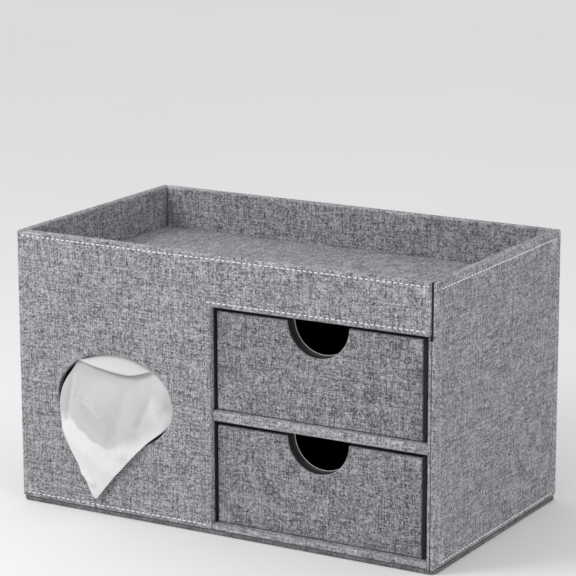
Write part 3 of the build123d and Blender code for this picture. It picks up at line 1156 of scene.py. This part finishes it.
def drawer_inside(body):
    """The black open box inside a drawer, with the finger notch through its front."""
    low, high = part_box(f"{body}_lining")
    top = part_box(f"{body}_front_cover")[1].z
    corner = 1.0 * MM
    t = drawer_cover - lining_recess
    outline = box_outline(low.x + t, high.x - t, low.y + t, high.y - t, corner)
    bm = cup(outline, high.z, low.z + t, t, facing("+z", 0.0))
    bm = cut(bm, cylinder(notch_x, top, notch_radius, low.y - MM, low.y + 2 * MM))
    piece(f"{body}_inside", bm, black, body=body, nodes=[f"{body}_lining"])


def drawers():
    for body in ("upper_drawer", "lower_drawer"):
        drawer_front(body)
        top_lining_and_shade(body)
        drawer_sides(body)
        end_seam_shade(body)
        drawer_inside(body)
        notch_edges(body)


# ---- the tissues ----
def tissue_stack():
    """The pack: folded tissues stacked front to back, each with a soft rounded fold."""
    layers = 46
    corner = 5.0 * MM
    crease = 1.1 * MM
    greatest_shift = 0.7
    face_inset, edge_inset = 4.0 * MM, 2.0 * MM
    fold = [(crease, 0.08), (0.0, 0.35), (0.0, 0.7), (crease, 0.95)]
    outline = box_outline(pack_low.x, pack_high.x, pack_low.z, pack_high.z, corner)
    depth = pack_high.y - pack_low.y
    step = depth / layers
    profile = [(face_inset, 0.0, False), (edge_inset, 0.05 * step, False)]
    for i in range(layers):
        shift = random.uniform(0.0, greatest_shift) * MM
        profile += [(inset + shift, i * step + share * step, False) for inset, share in fold]
    profile += [(edge_inset, depth, False), (face_inset, depth, False)]
    bm = slab(outline, profile, facing("-y", pack_high.y))
    piece("tissue_stack", bm, paper, nodes=["tissue_pack"])


def smooth_curve(points, t):
    """A smooth curve through points, at t from 0 to 1."""
    last = len(points) - 1
    position = min(t * last, last - 1e-9)
    i = int(position)
    f = position - i
    p = [Vector(points[min(max(i + k, 0), last)]) for k in (-1, 0, 1, 2)]
    return (
        p[1]
        + (p[2] - p[0]) * (f / 2)
        + (p[0] * 2 - p[1] * 5 + p[2] * 4 - p[3]) * (f * f / 2)
        + (p[1] * 3 - p[0] - p[2] * 3 + p[3]) * (f**3 / 2)
    )


# The pulled-out tissue in millimetres: four lines from the pack's face, up behind the
# wall, out over the lip of the top fold and down to the point. x and z lie on the
# front, and y is depth.
pack_face = pack_low.y / MM - 0.6
left_line = [
    (-104, pack_face, 16),
    (-104, pack_face, 52),
    (-101, pack_face - 1, 80),
    (-93, -64, 87),
    (-88, -70.5, 87.2),
    (-90.5, -74.2, 86.2),
    (-91, -71.5, 86.0),
    (-93, -73.0, 83.4),
    (-101.2, -75.2, 69),
    (-101.6, -76.6, 56),
    (-98, -77.4, 43.5),
    (-90, -77.6, 27),
    (-79.4, -77.4, 9.6),
]
left_middle_line = [
    (-79, pack_face, 16),
    (-79, pack_face, 52),
    (-78, pack_face - 1, 84),
    (-76, -64, 93),
    (-74.5, -70.0, 92.2),
    (-76, -76.0, 83.9),
    (-75.5, -68.0, 84.6),
    (-76.5, -72.8, 80.8),
    (-79, -77.2, 67),
    (-81, -78.6, 51),
    (-83, -78.4, 38),
    (-84, -78.2, 22.5),
    (-78.6, -77.6, 9.1),
]
right_middle_line = [
    (-53, pack_face, 16),
    (-53, pack_face, 52),
    (-54, pack_face - 1, 84),
    (-57, -64, 93),
    (-58.5, -70.0, 92.0),
    (-57, -76.0, 82.2),
    (-57, -68.0, 83.0),
    (-55.5, -72.6, 79.2),
    (-51, -76.6, 66),
    (-55, -78.4, 52.5),
    (-64.5, -78.6, 39),
    (-74.5, -78.2, 21.5),
    (-78, -77.6, 9.1),
]
right_line = [
    (-28, pack_face, 16),
    (-28, pack_face, 52),
    (-31, pack_face - 1, 80),
    (-40, -64, 87),
    (-45, -70.4, 86.2),
    (-43.6, -73.0, 85.4),
    (-43, -71.0, 85.0),
    (-39, -71.2, 81),
    (-27.5, -68.6, 68),
    (-32.6, -72.6, 56),
    (-47, -77.4, 43.2),
    (-67, -77.8, 22),
    (-77.4, -77.4, 9.6),
]

# Soft folds on the hanging part: two ends (x, z), a width and a height, in millimetres.
soft_folds = [
    ((-93, 81), (-80, 66), 2.2, -1.3),
    ((-80, 66), (-60, 38), 3.4, 1.5),
    ((-88, 63), (-70, 44), 2.6, -1.2),
    ((-99, 46), (-72, 26), 5.0, 1.1),
    ((-95, 78), (-97, 52), 1.6, -1.3),
    ((-91, 77), (-93, 66), 1.3, 1.0),
    ((-89, 63), (-72, 57), 1.5, 0.9),
    ((-58, 74), (-66, 44), 4.0, -1.4),
    ((-49, 77), (-38, 66), 2.4, 1.3),
    ((-44, 70), (-50, 54), 2.2, -1.1),
    ((-42, 66), (-36, 55), 2.2, 1.2),
    ((-90, 24), (-79, 18), 1.4, 0.8),
    ((-84, 36), (-79, 12), 2.4, 0.6),
    ((-84, 62), (-75, 59), 1.0, 0.4),
    ((-83, 58.8), (-72, 55.8), 1.0, 0.35),
    ((-81, 55.6), (-70, 52.6), 1.0, 0.25),
]


def fold_height(x, z):
    """How far the folds lift the sheet at a place on the front, in millimetres."""
    total = 0.0
    here = Vector((x, z))
    for start, end, width, height in soft_folds:
        a, b = Vector(start), Vector(end)
        share = max(0.0, min(1.0, (here - a).dot(b - a) / (b - a).length_squared))
        distance = (here - a.lerp(b, share)).length
        total += height * math.exp(-((distance / width) ** 2))
    return total


def eased(value, low, high):
    """From 0 to 1 as a value goes from low to high, with soft ends."""
    share = max(0.0, min(1.0, (value - low) / (high - low)))
    return share * share * (3 - 2 * share)


def thinness_and_shade(x, z, s):
    """How grey a place of the sheet looks: one ply over the dark mouth, less where doubled, a band down
    the left edge, painted shade under the top fold's crease, and a set grey on the part from the pack to
    the crease.

    x and z are in millimetres, and s runs from 0 at the pack to 1 at the point.
    """
    oval_x, oval_z = -62, 64
    oval_half_width, oval_half_height = 36, 26.5
    oval_edge = 0.98
    doubled_x, doubled_z, doubled_reach = -40, 63, 6
    crease_z, crease_reach = 82, 4
    ply_grey, doubled_loss = 0.8, 0.5
    edge_grey, crease_shadow_grey, behind_grey = 0.2, 0.35, 0.45
    ragged = 0.1 * noise.noise(Vector((x / 7, z / 7, 3.0)))
    away = math.hypot((x - oval_x) / oval_half_width, (z - oval_z) / oval_half_height) + ragged
    softness = 0.06 + 0.45 * eased(x, -72, -48)
    over_mouth = 1.0 - eased(away, oval_edge - softness, oval_edge)
    upper_left = eased(z, 49, 58) * (1.0 - eased(x, -80, -60))
    over_mouth = max(over_mouth, upper_left)
    doubled = math.exp(-(((x - doubled_x) / doubled_reach) ** 2) - ((z - doubled_z) / doubled_reach) ** 2)
    left_edge = edge_grey * (1.0 - eased(x, -99.5, -97.5)) * eased(z, 55, 57)
    # painted shade: a band just under the top fold's crease is greyed, for the shadow the overhanging
    # fold casts
    crease_shadow = crease_shadow_grey * math.exp(-(((z - crease_z) / crease_reach) ** 2))
    crease_shadow *= 1.0 - 0.6 * eased(x, -72, -52)
    ply = over_mouth * (ply_grey - doubled_loss * doubled)
    hanging = min(1.0, ply + left_edge + crease_shadow)
    behind = 1.0 - eased(s, 0.47, 0.5)
    return hanging * (1.0 - behind) + behind_grey * behind


def tissue():
    """The pulled-out sheet, from the pack's face to the point that hangs down in front."""
    columns, rows = 72, 220
    fold_lift = 1.4
    hang_start, hang_end = 0.56, 0.68
    wrinkle_width, wrinkle_length = 9, 18
    lines = [left_line, left_middle_line, right_middle_line, right_line]
    bm = bmesh.new()
    # thin holds how grey each point looks, painted shade under the crease included
    thin = bm.verts.layers.float.new("thin")
    grid = []
    for i in range(rows + 1):
        s = i / rows
        control = [smooth_curve(line, s) for line in lines]
        hanging = eased(s, hang_start, hang_end)
        row = []
        for j in range(columns + 1):
            p = smooth_curve(control, j / columns)
            grey_share = thinness_and_shade(p.x, p.z, s)
            lift = fold_height(p.x, p.z) * hanging
            across, along = (p.x + p.z) / wrinkle_width, (p.x - p.z) / wrinkle_length
            wrinkle = noise.noise(Vector((across, along, 0.0)))
            p.y -= lift * fold_lift + wrinkle * hanging
            vert = bm.verts.new(p * MM)
            vert[thin] = grey_share
            row.append(vert)
        grid.append(row)
    cover_grid(bm, grid)
    sheet = piece("pulled_tissue", bm, paper, nodes=["tissue_sheet"])
    layer = sheet.modifiers.new("two_ply", "SOLIDIFY")
    layer.thickness = 0.22 * MM
    layer.offset = 0.0


# ---- what shows of the frame itself ----
def dress_frame():
    """Boards, catch blocks and magnets keep their own shapes."""
    for name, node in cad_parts.items():
        material = steel if "magnet" in name else board_material
        node.data.materials.clear()
        node.data.materials.append(material)


# ---- floor, light and camera ----
floor_size = 12.0
floor_drop = 0.2 * MM
horizon_grey = 0.4
white_above = 0.6
sky_strength = 0.83
camera_place = (0.7203, -1.2346, 0.4597)
camera_lens = 166.04
camera_azimuth = math.radians(30.28)
camera_elevation = math.radians(13.30)
camera_roll = math.radians(-0.134)


def ground():
    bpy.ops.mesh.primitive_plane_add(size=floor_size, location=(0, 0, -floor_drop))
    floor = bpy.context.object
    floor.name = "floor"
    floor.data.materials.append(floor_paint("pale_floor"))


def sky():
    """Even pale light from above, which greys towards the horizon."""
    world = bpy.data.worlds.new("studio_air")
    bpy.context.scene.world = world
    world.use_nodes = True
    tree = world.node_tree
    direction = tree.nodes.new("ShaderNodeTexCoord").outputs["Generated"]
    height = split(tree, direction)[2]
    colour = ramp(tree, height, (0.0, (horizon_grey,) * 3), (white_above, (1.0, 1.0, 1.0)))
    feed(colour, tree.nodes["Background"].inputs["Color"])
    tree.nodes["Background"].inputs["Strength"].default_value = sky_strength


def soft_light(name, place, size, power):
    """A square lamp that looks at the middle of the box."""
    data = bpy.data.lights.new(name, "AREA")
    data.size = size
    data.energy = power
    lamp = bpy.data.objects.new(name, data)
    bpy.context.scene.collection.objects.link(lamp)
    aim = Vector((0.0, 0.0, rim_z / 2)) - Vector(place)
    lamp.location = place
    lamp.rotation_euler = aim.to_track_quat("-Z", "Y").to_euler()


def studio():
    ground()
    sky()
    soft_light("key", place=(-0.45, -0.6, 0.62), size=0.34, power=2.95)
    soft_light("fill", place=(1.9, -0.7, 0.27), size=0.5, power=4.6)


def camera():
    """The photograph's view: from the right front, a little above."""
    data = bpy.data.cameras.new("view")
    data.lens = camera_lens
    data.sensor_width = 36.0
    data.clip_start = 0.05
    data.clip_end = 50.0
    obj = bpy.data.objects.new("view", data)
    bpy.context.scene.collection.objects.link(obj)
    turned = Matrix.Rotation(camera_azimuth, 4, "Z")
    tilted = Matrix.Rotation(math.pi / 2 - camera_elevation, 4, "X")
    rolled = Matrix.Rotation(camera_roll, 4, "Z")
    obj.matrix_world = Matrix.Translation(camera_place) @ turned @ tilted @ rolled
    bpy.context.scene.camera = obj


bpy.context.scene.view_settings.view_transform = "Standard"
dress_frame()
base()
front_panel()
side_panels()
back_panel()
wrapped_edges()
tray_floor()
jamb_turn_in()
bay_linings()
divider_end()
door_panel()
door_inside()
pull_tab()
hinge()
drawers()
tissue_stack()
tissue()
studio()
camera()
